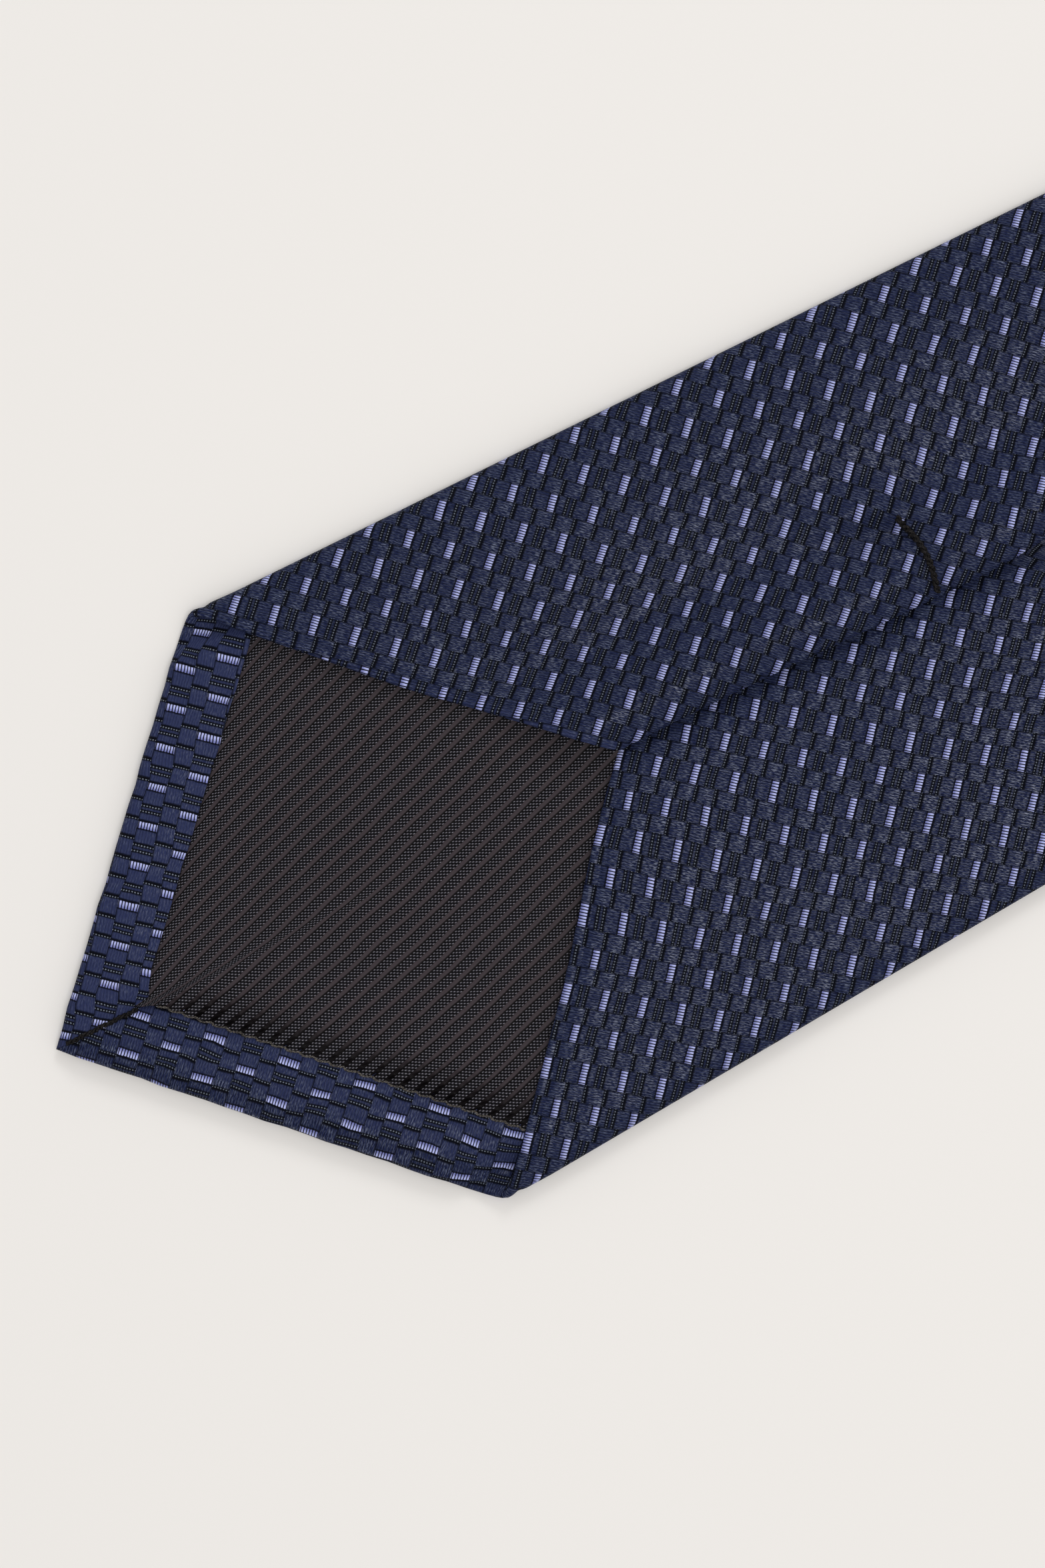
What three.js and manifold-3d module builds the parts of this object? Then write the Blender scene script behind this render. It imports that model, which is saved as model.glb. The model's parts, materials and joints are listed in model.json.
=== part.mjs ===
// A necktie lying on its face, with its back up: three lengths of cloth folded round an
// interlining and sewn end to end, with two lined tips, bar tacks, a keeper loop and a
// care label. Millimetres. +X runs from the front tip to the tail tip and +Z is up, out of
// the back of the tie. The origin is under the middle of the tie, on what it lies on.
import * as THREE from "three";
import { mergeVertices } from "three/addons/utils/BufferGeometryUtils.js";
import Module from "manifold-3d";

const wasm = await Module();
wasm.setup();

// ---- Driving dimensions --------------------------------------------------------------
// Plan of the tie, measured from the front tip
const TIE_LENGTH = 1480; // front tip to tail tip
const FRONT_WIDTH = 80; // across the front blade's shoulders
const FRONT_JOIN_WIDTH = 37; // where the front blade meets the neck
const TAIL_JOIN_WIDTH = 35; // where the neck meets the tail blade
const TAIL_WIDTH = 40; // across the tail blade's shoulders
const FRONT_JOIN_X = 620;
const TAIL_JOIN_X = 960;
const JOIN_SLANT = 1; // the joins run across at 45 degrees
const TIP_HALF_ANGLE = THREE.MathUtils.degToRad(46);

// Cloth
const SHELL_THICK = 0.4;
const INTERLINING_THICK = 1.0;
const TIPPING_THICK = 0.2;
const THREAD_RADIUS = 0.2;
const TACK_RADIUS = 0.33; // a bar tack is two strands twisted together
const GAP = 0.3; // left between pieces that touch
const SEAM_CLEAR = 3; // interlining stops this short of a join

// Back of the tie
const OVERLAP = 6; // the lower flap's raw edge and the lip reach this far past the seam
const RAMP_HEAD = 8; // the upper flap comes down from the seam between these two
const RAMP_FOOT = 13;
const LIP_RADIUS = (SHELL_THICK + GAP) / 2; // the upper flap's turned edge, at mid cloth
const FRONT_HEM = 8.6; // width of the cloth turned over the front tip
const TAIL_HEM = 6.5;
const FRONT_TIPPING_END = 150; // how far in the lining reaches, from the tip
const TAIL_TIPPING_END = 75;
const FRONT_TACK_X = 117.5; // bar tacks, from their own tip
const TAIL_TACK_X = 62;
const TACK_REACH = 9.2; // how far a bar tack runs over the upper flap
const STITCH_PITCH = 12; // slip stitch
const STITCH_SWING = 0.6;

// Keeper loop and care label, from the front tip
const KEEPER_X = 215;
const KEEPER_WIDTH = 12;
const KEEPER_THICK = 1.0; // doubled cloth
const KEEPER_SIDE_CLEAR = 2; // between each leg and a tail blade passed through
const KEEPER_INSIDE = TAIL_WIDTH + 2 * KEEPER_SIDE_CLEAR;
const KEEPER_HEAD_CLEAR = 0.7; // over a tail blade passed through
const KEEPER_CORNER = 2.5;
const KEEPER_TAB = 6;
const LABEL_X = 272;
const LABEL_LENGTH = 38;
const LABEL_WIDTH = 23;
const LABEL_THICK = 0.3;
const LABEL_FROM_SEAM = 4;

// ---- Heights, from the face of the tie up --------------------------------------------
const FACE_Z = SHELL_THICK / 2; // mid cloth
const INTERLINING_Z = SHELL_THICK + GAP; // underside
const HEM_Z = INTERLINING_Z + INTERLINING_THICK + GAP; // underside
const HEM_TOP = HEM_Z + SHELL_THICK;
const FLAP_Z = HEM_TOP + GAP + SHELL_THICK / 2; // mid cloth
const FLAP_TOP = FLAP_Z + SHELL_THICK / 2;
const LIP_Z = FLAP_Z + SHELL_THICK + GAP; // mid cloth
const RIDGE_Z = LIP_Z + 2 * LIP_RADIUS; // mid cloth of the upper flap along the seam
const TIE_TOP = RIDGE_Z + SHELL_THICK / 2;
const FOLD_RADIUS = (FLAP_Z - FACE_Z) / 2;
const FOLD_DEPTH = FOLD_RADIUS + SHELL_THICK / 2; // the side folds start this far in
const FOLD_STEPS = 6;
const TIP_SLOPE = 1 / Math.tan(TIP_HALF_ANGLE); // x gained for each millimetre across

// ---- Materials -----------------------------------------------------------------------
const cloth = (color, roughness) =>
  new THREE.MeshStandardMaterial({ color, roughness, metalness: 0 });
const shellCloth = cloth("#232a48", 0.55);
const tippingCloth = cloth("#2b2727", 0.5);
const interliningCloth = cloth("#8f877b", 0.95);
const darkThread = cloth("#211d1c", 0.6);
const labelSatin = cloth("#d8d5cd", 0.45);

// ---- Small geometry helpers ----------------------------------------------------------
const mesh = (name, geometry, material) => {
  const made = new THREE.Mesh(geometry, material);
  made.name = name;
  return made;
};

// Points on an arc of the y-z plane, ends left out, from one angle to another in degrees.
function arc(y, z, radius, from, to) {
  return Array.from({ length: FOLD_STEPS - 1 }, (_, k) => {
    const turn = from + ((to - from) * (k + 1)) / FOLD_STEPS;
    const angle = THREE.MathUtils.degToRad(turn);
    return [y + radius * Math.cos(angle), z + radius * Math.sin(angle)];
  });
}

// A line's points moved sideways by an offset, mitred at its corners.
function offsetLine(line, offset) {
  return line.map((point, i) => {
    const here = new THREE.Vector2(...point);
    const before = i > 0 ? new THREE.Vector2(...line[i - 1]) : null;
    const after = i < line.length - 1 ? new THREE.Vector2(...line[i + 1]) : null;
    const into = before ? here.clone().sub(before).normalize() : null;
    const out = after ? after.clone().sub(here).normalize() : null;
    const along = (into ?? out).clone().add(out ?? into).normalize();
    const stretch = offset / along.dot(out ?? into);
    return [here.x - along.y * stretch, here.y + along.x * stretch];
  });
}

// How far along a line each point is from the point with this index; negative before it.
function distancesFrom(line, origin) {
  const run = [0];
  for (let i = 1; i < line.length; i++) {
    const step = Math.hypot(line[i][0] - line[i - 1][0], line[i][1] - line[i - 1][1]);
    run.push(run[i - 1] + step);
  }
  return run.map((distance) => distance - run[origin]);
}

// A closed sheet of cloth between two grids of points, which are [row][column].
function sheetSolid(under, over) {
  const rows = under.length;
  const columns = under[0].length;
  const points = [...under.flat(), ...over.flat()];
  const lower = (row, column) => row * columns + column;
  const upper = (row, column) => rows * columns + lower(row, column);
  const faces = [];
  const quad = (a, b, c, d) => faces.push(a, b, c, a, c, d);
  for (let r = 0; r < rows - 1; r++) {
    for (let c = 0; c < columns - 1; c++) {
      quad(lower(r, c), lower(r, c + 1), lower(r + 1, c + 1), lower(r + 1, c));
      quad(upper(r, c), upper(r + 1, c), upper(r + 1, c + 1), upper(r, c + 1));
    }
    const last = columns - 1;
    quad(lower(r, 0), lower(r + 1, 0), upper(r + 1, 0), upper(r, 0));
    quad(lower(r, last), upper(r, last), upper(r + 1, last), lower(r + 1, last));
  }
  for (let c = 0; c < columns - 1; c++) {
    const last = rows - 1;
    quad(lower(0, c), upper(0, c), upper(0, c + 1), lower(0, c + 1));
    quad(lower(last, c), lower(last, c + 1), upper(last, c + 1), upper(last, c));
  }
  return new THREE.BufferGeometry().setFromPoints(points).setIndex(faces);
}

// A flat plate: an outline in plan, from one height to another.
function plate(outline, bottom, thick) {
  const shape = new THREE.Shape(outline.map(([x, y]) => new THREE.Vector2(x, y)));
  const settings = { depth: thick, bevelEnabled: false };
  return new THREE.ExtrudeGeometry(shape, settings).translate(0, 0, bottom);
}

// A round thread through a list of points.
function thread(points, radius, steps) {
  const path = new THREE.CatmullRomCurve3(points.map((p) => new THREE.Vector3(...p)));
  const section = new THREE.Shape().absarc(0, 0, radius, 0, 2 * Math.PI);
  const settings = { steps, extrudePath: path, curveSegments: 4, bevelEnabled: false };
  return new THREE.ExtrudeGeometry(section, settings);
}

function toSolid(geometry) {
  const bare = geometry.clone();
  bare.deleteAttribute("normal");
  bare.deleteAttribute("uv");
  const merged = mergeVertices(bare, 1e-4);
  return new wasm.Manifold(
    new wasm.Mesh({
      numProp: 3,
      vertProperties: new Float32Array(merged.attributes.position.array),
      triVerts: new Uint32Array(merged.index.array),
    }),
  );
}

function toGeometry(solid) {
  const { vertProperties, triVerts } = solid.getMesh();
  return new THREE.BufferGeometry()
    .setAttribute("position", new THREE.BufferAttribute(vertProperties, 3))
    .setIndex(new THREE.BufferAttribute(triVerts, 1));
}

// ---- The shell's section -------------------------------------------------------------
// The cloth's middle line across a tie this wide, from the lower flap's raw edge, round
// the face, to the raw edge of the lip that is turned under the upper flap.
function shellSection(half) {
  const inner = half - FOLD_DEPTH;
  const foldZ = FACE_Z + FOLD_RADIUS;
  const lipY = LIP_RADIUS + SHELL_THICK / 2;
  const line = [
    [OVERLAP, FLAP_Z],
    [-inner, FLAP_Z],
    ...arc(-inner, foldZ, FOLD_RADIUS, 90, 270),
    [-inner, FACE_Z],
    [0, FACE_Z],
    [inner, FACE_Z],
    ...arc(inner, foldZ, FOLD_RADIUS, -90, 90),
    [inner, FLAP_Z],
    [RAMP_FOOT, FLAP_Z],
    [RAMP_HEAD, RIDGE_Z],
    [lipY, RIDGE_Z],
    ...arc(lipY, LIP_Z + LIP_RADIUS, LIP_RADIUS, 90, 270),
    [lipY, LIP_Z],
    [OVERLAP, LIP_Z],
  ];
  const middle = line.findIndex(([y, z]) => y === 0 && z === FACE_Z);
  const place = distancesFrom(line, middle);
  const outside = offsetLine(line, -SHELL_THICK / 2);
  const inside = offsetLine(line, SHELL_THICK / 2);
  return { place, outside, inside };
}

// One row of a shell's two grids. reach(y, distance round the section) gives x.
function shellRow(half, reach) {
  const { place, outside, inside } = shellSection(half);
  const row = (side) =>
    side.map(([y, z], i) => new THREE.Vector3(reach(y, place[i]), y, z));
  return { outside: row(outside), inside: row(inside) };
}

const shellSolid = (rows) =>
  sheetSolid(
    rows.map((row) => row.outside),
    rows.map((row) => row.inside),
  );

// ---- A blade: tip at x = 0, join at the far end --------------------------------------
function bladePlan({ tipWidth, joinWidth, length, slant }) {
  const half = tipWidth / 2;
  const shoulder = half * TIP_SLOPE;
  const taper = (half - joinWidth / 2) / (length - shoulder);
  return {
    half,
    shoulder,
    taper,
    length,
    slant,
    halfAt: (x) => half - taper * (x - shoulder),
    joinX: (y, clear) => length - clear + slant * y,
  };
}

// Half of the outline of something inside a blade: from its apex, along an edge parallel
// to the tip's, to its side, then down the side to x = end.
function innerSide(plan, fromTipEdge, side, end) {
  const apex = fromTipEdge / Math.sin(TIP_HALF_ANGLE);
  const start = plan.half + plan.taper * plan.shoulder - side;
  const y = (start - plan.taper * apex) / (1 + plan.taper * TIP_SLOPE);
  return { apex, corner: [apex + y * TIP_SLOPE, y], endY: plan.halfAt(end) - side };
}

// A band of this width along both edges of the tip, from a distance in from the edge.
function tipBand(plan, from, width, bottom, thick) {
  const reach = plan.half - FOLD_DEPTH;
  const edge = (inset, y) => inset / Math.sin(TIP_HALF_ANGLE) + Math.abs(y) * TIP_SLOPE;
  const outline = [-reach, 0, reach].map((y) => [edge(from, y), y]);
  const back = [reach, 0, -reach].map((y) => [edge(from + width, y), y]);
  return plate([...outline, ...back], bottom, thick);
}

function bladeShell(plan, hem) {
  const straight = plan.half * 2 * TIP_SLOPE + 2 * RAMP_HEAD; // past the flaps' front
  const tip = shellRow(plan.half, (_, distance) => Math.abs(distance) * TIP_SLOPE);
  const middle = shellRow(plan.halfAt(straight), () => straight);
  const join = shellRow(plan.halfAt(plan.length), (y) => plan.joinX(y, GAP / 2));
  const wall = tipBand(plan, 0, SHELL_THICK, 0, HEM_TOP);
  const band = tipBand(plan, 0, hem, HEM_Z, SHELL_THICK);
  const body = toSolid(shellSolid([tip, middle, join]));
  return toGeometry(body.add(toSolid(wall)).add(toSolid(band)));
}

function bladeInterlining(plan) {
  const inside = innerSide(plan, SHELL_THICK + GAP, FOLD_DEPTH, plan.length);
  const [x, y] = inside.corner;
  const end = (side) => [plan.joinX(side, SEAM_CLEAR), side];
  const outline = [
    [inside.apex, 0],
    [x, -y],
    end(-inside.endY),
    end(inside.endY),
    [x, y],
  ];
  return plate(outline, INTERLINING_Z, INTERLINING_THICK);
}

function bladeTipping(plan, hem, end) {
  const seam = 2 * (GAP + THREAD_RADIUS); // room for the stitching beside the hem
  const inside = innerSide(plan, hem + seam, FOLD_DEPTH, end);
  const [x, y] = inside.corner;
  const outline = [
    [inside.apex, 0],
    [x, -y],
    [end, -inside.endY],
    [end, inside.endY],
    [x, y],
  ];
  return plate(outline, HEM_Z, TIPPING_THICK);
}

// The stitching that holds the lining to one side of the hem, in the seam between them.
function tippingStitch(plan, hem, side) {
  const { apex } = innerSide(plan, hem + GAP + THREAD_RADIUS, 0, 0);
  const z = HEM_Z + THREAD_RADIUS;
  const reach = plan.half - FOLD_DEPTH - 1;
  const at = (y) => [apex + y * TIP_SLOPE, side * y, z];
  return thread([at(1), at(reach / 2), at(reach)], THREAD_RADIUS, 8);
}

// The stitching along the mitre at the point of the hem.
function mitreStitch(hem) {
  const z = HEM_TOP + GAP + THREAD_RADIUS;
  const end = hem / Math.sin(TIP_HALF_ANGLE);
  const points = [
    [end * 0.15, 0, z],
    [end * 0.5, THREAD_RADIUS, z],
    [end * 0.85, 0, z],
  ];
  return thread(points, THREAD_RADIUS, 6);
}

// The bar tack runs over the upper flap and down its turned edge.
function barTack(x) {
  const clear = GAP + TACK_RADIUS;
  const drop = ((TACK_REACH - RAMP_HEAD) / (RAMP_FOOT - RAMP_HEAD)) * (RIDGE_Z - FLAP_Z);
  const points = [
    [x - 0.6, TACK_REACH, TIE_TOP - drop + clear + 0.1],
    [x - 0.4, RAMP_HEAD - 1, TIE_TOP + clear + 0.1],
    [x, RAMP_HEAD / 2, TIE_TOP + clear],
    [x + 0.3, 0.6, TIE_TOP + clear],
    [x + 0.4, -clear, TIE_TOP - 0.2],
    [x + 0.4, -clear - 0.1, FLAP_TOP + clear + 0.2],
  ];
  return thread(points, TACK_RADIUS, 20);
}

// The slip stitch lies in the groove under the turned edge and swings from side to side.
function slipStitch(from, to) {
  const z = FLAP_TOP + GAP + THREAD_RADIUS;
  const near = -(GAP + THREAD_RADIUS);
  const count = Math.round((to - from) / STITCH_PITCH);
  const points = Array.from({ length: count + 1 }, (_, k) => [
    from + ((to - from) * k) / count,
    near - (k % 2) * STITCH_SWING,
    z,
  ]);
  return thread(points, THREAD_RADIUS, count * 2);
}

// The seam thread of a join, on the inside of the face.
function joinStitch(x, half) {
  const reach = half - FOLD_DEPTH - 1;
  const z = SHELL_THICK + GAP + THREAD_RADIUS;
  const at = (y) => [x + JOIN_SLANT * y, y, z];
  return thread([at(-reach), at(0), at(reach)], THREAD_RADIUS, 4);
}

// ---- The front blade -----------------------------------------------------------------
const frontPlan = bladePlan({
  tipWidth: FRONT_WIDTH,
  joinWidth: FRONT_JOIN_WIDTH,
  length: FRONT_JOIN_X,
  slant: JOIN_SLANT,
});
const STITCH_FROM_TACK = 2;
const STITCH_FROM_JOIN = 4;
const frontBlade = new THREE.Group();
frontBlade.add(
  mesh("front_shell", bladeShell(frontPlan, FRONT_HEM), shellCloth),
  mesh("front_interlining", bladeInterlining(frontPlan), interliningCloth),
  mesh(
    "front_tipping",
    bladeTipping(frontPlan, FRONT_HEM, FRONT_TIPPING_END),
    tippingCloth,
  ),
  mesh("front_tipping_stitch_left", tippingStitch(frontPlan, FRONT_HEM, 1), darkThread),
  mesh("front_tipping_stitch_right", tippingStitch(frontPlan, FRONT_HEM, -1), darkThread),
  mesh("front_mitre_stitch", mitreStitch(FRONT_HEM), darkThread),
  mesh("front_bar_tack", barTack(FRONT_TACK_X), darkThread),
  mesh(
    "front_slip_stitch",
    slipStitch(FRONT_TACK_X + STITCH_FROM_TACK, FRONT_JOIN_X - STITCH_FROM_JOIN),
    darkThread,
  ),
);

// ---- The keeper loop, which the tail slides through ----------------------------------
function keeperLoop() {
  const half = KEEPER_INSIDE / 2 + KEEPER_THICK / 2;
  const low = FLAP_TOP + GAP + KEEPER_THICK / 2;
  const high = 2 * TIE_TOP + KEEPER_HEAD_CLEAR + KEEPER_THICK / 2;
  const bend = KEEPER_CORNER;
  const line = [
    [-half - KEEPER_TAB, low],
    [-half - KEEPER_THICK, low],
    [-half, low + KEEPER_THICK],
    [-half, high - bend],
    ...arc(-half + bend, high - bend, bend, 180, 90),
    [-half + bend, high],
    [half - bend, high],
    ...arc(half - bend, high - bend, bend, 90, 0),
    [half, high - bend],
    [half, low + KEEPER_THICK],
    [half + KEEPER_THICK, low],
    [half + KEEPER_TAB, low],
  ];
  const row = (offset, x) =>
    offsetLine(line, offset).map(([y, z]) => new THREE.Vector3(x, y, z));
  const ends = [KEEPER_X, KEEPER_X + KEEPER_WIDTH];
  return sheetSolid(
    ends.map((x) => row(-KEEPER_THICK / 2, x)),
    ends.map((x) => row(KEEPER_THICK / 2, x)),
  );
}

function keeperTack(side) {
  const y = side * (KEEPER_INSIDE / 2 + KEEPER_TAB - 1);
  const z = FLAP_TOP + 2 * GAP + KEEPER_THICK + THREAD_RADIUS;
  const at = (share) => [KEEPER_X + KEEPER_WIDTH * share, y, z];
  return thread([at(0.08), at(0.5), at(0.92)], THREAD_RADIUS, 4);
}

frontBlade.add(
  mesh("keeper_loop", keeperLoop(), shellCloth),
  mesh("keeper_tack_left", keeperTack(1), darkThread),
  mesh("keeper_tack_right", keeperTack(-1), darkThread),
);

// ---- The care label, sewn along one edge and free to turn over -----------------------
const labelSide = -(LABEL_FROM_SEAM + LABEL_WIDTH);
const labelOutline = [
  [LABEL_X + GAP, labelSide],
  [LABEL_X + LABEL_LENGTH, labelSide],
  [LABEL_X + LABEL_LENGTH, -LABEL_FROM_SEAM],
  [LABEL_X + GAP, -LABEL_FROM_SEAM],
];
const labelStitchX = LABEL_X - GAP - THREAD_RADIUS;
const labelStitchZ = FLAP_TOP + GAP + THREAD_RADIUS;
const labelStitchAt = (share) => [
  labelStitchX,
  -LABEL_FROM_SEAM - LABEL_WIDTH * share,
  labelStitchZ,
];
const labelStitch = [0.04, 0.5, 0.96].map(labelStitchAt);
frontBlade.add(
  mesh("care_label", plate(labelOutline, FLAP_TOP + GAP, LABEL_THICK), labelSatin),
  mesh("care_label_stitch", thread(labelStitch, THREAD_RADIUS, 4), darkThread),
);

// ---- The neck ------------------------------------------------------------------------
const neckHalf = (x) => {
  const share = (x - FRONT_JOIN_X) / (TAIL_JOIN_X - FRONT_JOIN_X);
  return (FRONT_JOIN_WIDTH + share * (TAIL_JOIN_WIDTH - FRONT_JOIN_WIDTH)) / 2;
};

function neckShell() {
  const end = (x, clear) => shellRow(neckHalf(x), (y) => x + clear + JOIN_SLANT * y);
  return shellSolid([end(FRONT_JOIN_X, GAP / 2), end(TAIL_JOIN_X, -GAP / 2)]);
}

function neckInterlining() {
  const corner = (x, clear, side) => {
    const y = side * (neckHalf(x) - FOLD_DEPTH);
    return [x + clear + JOIN_SLANT * y, y];
  };
  const outline = [
    corner(FRONT_JOIN_X, SEAM_CLEAR, -1),
    corner(TAIL_JOIN_X, -SEAM_CLEAR, -1),
    corner(TAIL_JOIN_X, -SEAM_CLEAR, 1),
    corner(FRONT_JOIN_X, SEAM_CLEAR, 1),
  ];
  return plate(outline, INTERLINING_Z, INTERLINING_THICK);
}

const JOIN_STITCH_IN = SEAM_CLEAR / 2; // the thread lies in the interlining's gap
const neck = new THREE.Group();
neck.add(
  mesh("neck_shell", neckShell(), shellCloth),
  mesh("neck_interlining", neckInterlining(), interliningCloth),
  mesh(
    "neck_slip_stitch",
    slipStitch(FRONT_JOIN_X + STITCH_FROM_JOIN, TAIL_JOIN_X - STITCH_FROM_JOIN),
    darkThread,
  ),
  mesh(
    "front_join_stitch",
    joinStitch(FRONT_JOIN_X + JOIN_STITCH_IN, FRONT_JOIN_WIDTH / 2),
    darkThread,
  ),
);

// ---- The tail blade, built like the front one and turned end for end -----------------
const tailLength = TIE_LENGTH - TAIL_JOIN_X;
const tailPlan = bladePlan({
  tipWidth: TAIL_WIDTH,
  joinWidth: TAIL_JOIN_WIDTH,
  length: tailLength,
  slant: -JOIN_SLANT,
});
const tailBlade = new THREE.Group();
tailBlade.position.x = TIE_LENGTH;
tailBlade.scale.x = -1;
tailBlade.add(
  mesh("tail_shell", bladeShell(tailPlan, TAIL_HEM), shellCloth),
  mesh("tail_interlining", bladeInterlining(tailPlan), interliningCloth),
  mesh("tail_tipping", bladeTipping(tailPlan, TAIL_HEM, TAIL_TIPPING_END), tippingCloth),
  mesh("tail_tipping_stitch_left", tippingStitch(tailPlan, TAIL_HEM, 1), darkThread),
  mesh("tail_tipping_stitch_right", tippingStitch(tailPlan, TAIL_HEM, -1), darkThread),
  mesh("tail_mitre_stitch", mitreStitch(TAIL_HEM), darkThread),
  mesh("tail_bar_tack", barTack(TAIL_TACK_X), darkThread),
  mesh(
    "tail_slip_stitch",
    slipStitch(TAIL_TACK_X + STITCH_FROM_TACK, tailLength - STITCH_FROM_JOIN),
    darkThread,
  ),
);
const tailJoin = joinStitch(TAIL_JOIN_X + JOIN_STITCH_IN, TAIL_JOIN_WIDTH / 2);

// ---- The whole tie, with its origin under its middle ---------------------------------
const necktie = new THREE.Group();
necktie.add(frontBlade, neck, tailBlade);
necktie.add(mesh("tail_join_stitch", tailJoin, darkThread));
necktie.position.x = -TIE_LENGTH / 2;

export default necktie;
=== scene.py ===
# %% [markdown]
# # A woven silk necktie, lying on its face
#
# A necktie is three lengths of silk, cut on the slant of the weave and sewn end to end.
# The long strip is folded round a strip of brushed wool, the interlining, and closed down
# the back with one loose thread. Almost everything here is cloth, so almost everything
# starts as a flat grid, the cut pattern, whose points are then moved to where folding
# takes them. The flat place of each point is kept in a UV map called "cloth", in metres,
# and the weave is drawn on that, so the pattern turns with every fold as real cloth does.

# %% Load the frame
import json
import math

import bpy
import numpy as np
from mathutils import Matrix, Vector

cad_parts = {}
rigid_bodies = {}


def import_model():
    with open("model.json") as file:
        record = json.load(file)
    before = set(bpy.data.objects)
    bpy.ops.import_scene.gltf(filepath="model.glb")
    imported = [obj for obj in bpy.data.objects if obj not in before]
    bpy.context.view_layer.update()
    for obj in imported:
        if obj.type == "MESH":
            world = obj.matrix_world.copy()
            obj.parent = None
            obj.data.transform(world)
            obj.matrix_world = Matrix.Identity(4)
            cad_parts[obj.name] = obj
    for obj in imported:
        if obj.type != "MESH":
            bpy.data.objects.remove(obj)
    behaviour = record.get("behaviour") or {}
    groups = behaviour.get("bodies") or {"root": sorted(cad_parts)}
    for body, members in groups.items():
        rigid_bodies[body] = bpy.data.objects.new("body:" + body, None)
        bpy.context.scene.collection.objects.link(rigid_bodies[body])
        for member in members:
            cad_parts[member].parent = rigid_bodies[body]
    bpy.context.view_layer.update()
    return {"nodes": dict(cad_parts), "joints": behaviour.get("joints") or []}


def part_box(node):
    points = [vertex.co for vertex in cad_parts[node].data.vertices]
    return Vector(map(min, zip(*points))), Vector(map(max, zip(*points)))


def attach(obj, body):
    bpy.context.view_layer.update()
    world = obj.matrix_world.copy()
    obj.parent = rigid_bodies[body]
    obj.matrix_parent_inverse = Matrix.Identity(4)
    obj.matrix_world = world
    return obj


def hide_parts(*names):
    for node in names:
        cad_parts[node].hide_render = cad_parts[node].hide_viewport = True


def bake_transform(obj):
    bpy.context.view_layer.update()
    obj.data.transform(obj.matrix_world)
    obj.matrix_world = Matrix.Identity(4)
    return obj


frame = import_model()
cad_objects = set(bpy.context.scene.objects)
mm = 0.001
print("nodes in the frame:", len(frame["nodes"]))

# %% [markdown]
# The places that matter come from the frame: the two tips, the two seams where the lengths
# are joined, and how wide the tie is at each of them. The cloth is drawn by its middle
# layer, so the widths lose half a thickness on each side.

# %% Places along the tie
CLOTH = 0.4 * mm
low, high = {}, {}
for node in ("front_shell", "neck_shell", "tail_shell", "keeper_loop", "care_label"):
    low[node], high[node] = (np.array(corner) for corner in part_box(node))

FRONT_TIP = low["front_shell"][0]
TAIL_TIP = high["tail_shell"][0]
joint_place = {joint["name"]: joint["pos_m"] for joint in frame["joints"]}
FRONT_JOIN = joint_place["front_fold"][0]
TAIL_JOIN = joint_place["tail_fold"][0]
FRONT_HALF = high["front_shell"][1] - CLOTH / 2
TAIL_HALF = high["tail_shell"][1] - CLOTH / 2
NECK_HALF = high["neck_shell"][1] - CLOTH / 2
NECK_TAIL_HALF = NECK_HALF - 1 * mm
TIP_ANGLE = math.radians(46)  # each side of a tip, from the tie's middle line
TIP_SLOPE = 1 / math.tan(TIP_ANGLE)
TIP_STRETCH = 1 / math.sin(TIP_ANGLE)
print(f"tips at {FRONT_TIP:.3f} and {TAIL_TIP:.3f}, joins at {FRONT_JOIN:.3f} and {TAIL_JOIN:.3f}")

# %% [markdown]
# ## Camera, floor and light
#
# The camera looks straight down on the front tip, turned so that the tie climbs to the
# right. A long lens keeps the edges parallel. The floor is a plain warm white sheet. One
# big soft light hangs overhead, the room fills in from all round, and a weaker light rakes
# low across the weave so that each block of it throws a little shade.

# %% Camera
VIEW_TURN = math.radians(-28.3)
view_centre = Vector((FRONT_TIP + 64.2 * mm, 3.1 * mm, 3 * mm))
camera_data = bpy.data.cameras.new("camera")
camera_data.lens = 100
camera_data.sensor_width = 36
camera_data.sensor_fit = "VERTICAL"
camera_data.sensor_height = 36
VIEW_HEIGHT = 187.5 * mm
camera = bpy.data.objects.new("camera", camera_data)
bpy.context.scene.collection.objects.link(camera)
camera_distance = VIEW_HEIGHT * camera_data.lens / camera_data.sensor_height
camera.location = view_centre + Vector((0, 0, camera_distance))
camera.rotation_euler = (0, 0, VIEW_TURN)
bpy.context.scene.camera = camera
bpy.context.scene.view_settings.view_transform = "Standard"
print(f"camera {camera_distance * 1000:.0f} mm above the tie")


# %% Floor and lights
def deselect():
    bpy.ops.object.select_all(action="DESELECT")


def soft_light(name, place, aim, size, power, colour):
    data = bpy.data.lights.new(name, "AREA")
    data.shape = "SQUARE"
    data.size = size
    data.energy = power
    data.color = colour
    light = bpy.data.objects.new(name, data)
    bpy.context.scene.collection.objects.link(light)
    light.location = place
    direction = Vector(aim) - Vector(place)
    light.rotation_euler = direction.to_track_quat("-Z", "Y").to_euler()


deselect()
bpy.ops.mesh.primitive_plane_add(size=8, location=(0, 0, 0))
floor = bpy.context.object
floor.name = "floor"
tip_spot = (FRONT_TIP + 60 * mm, 0, 0)
soft_light("overhead", (FRONT_TIP + 0.3, -0.3, 1.65), tip_spot, 0.7, 7.8, (1, 0.982, 0.968))
soft_light("rake", (FRONT_TIP + 1.0, 1.0, 1.0), tip_spot, 0.5, 5, (0.98, 0.99, 1))
world = bpy.data.worlds.new("studio")
bpy.context.scene.world = world
world.use_nodes = True
background = world.node_tree.nodes["Background"].inputs
background["Color"].default_value = (1, 0.987, 0.972, 1)
background["Strength"].default_value = 0.66
print("floor and lights are in place")

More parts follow.
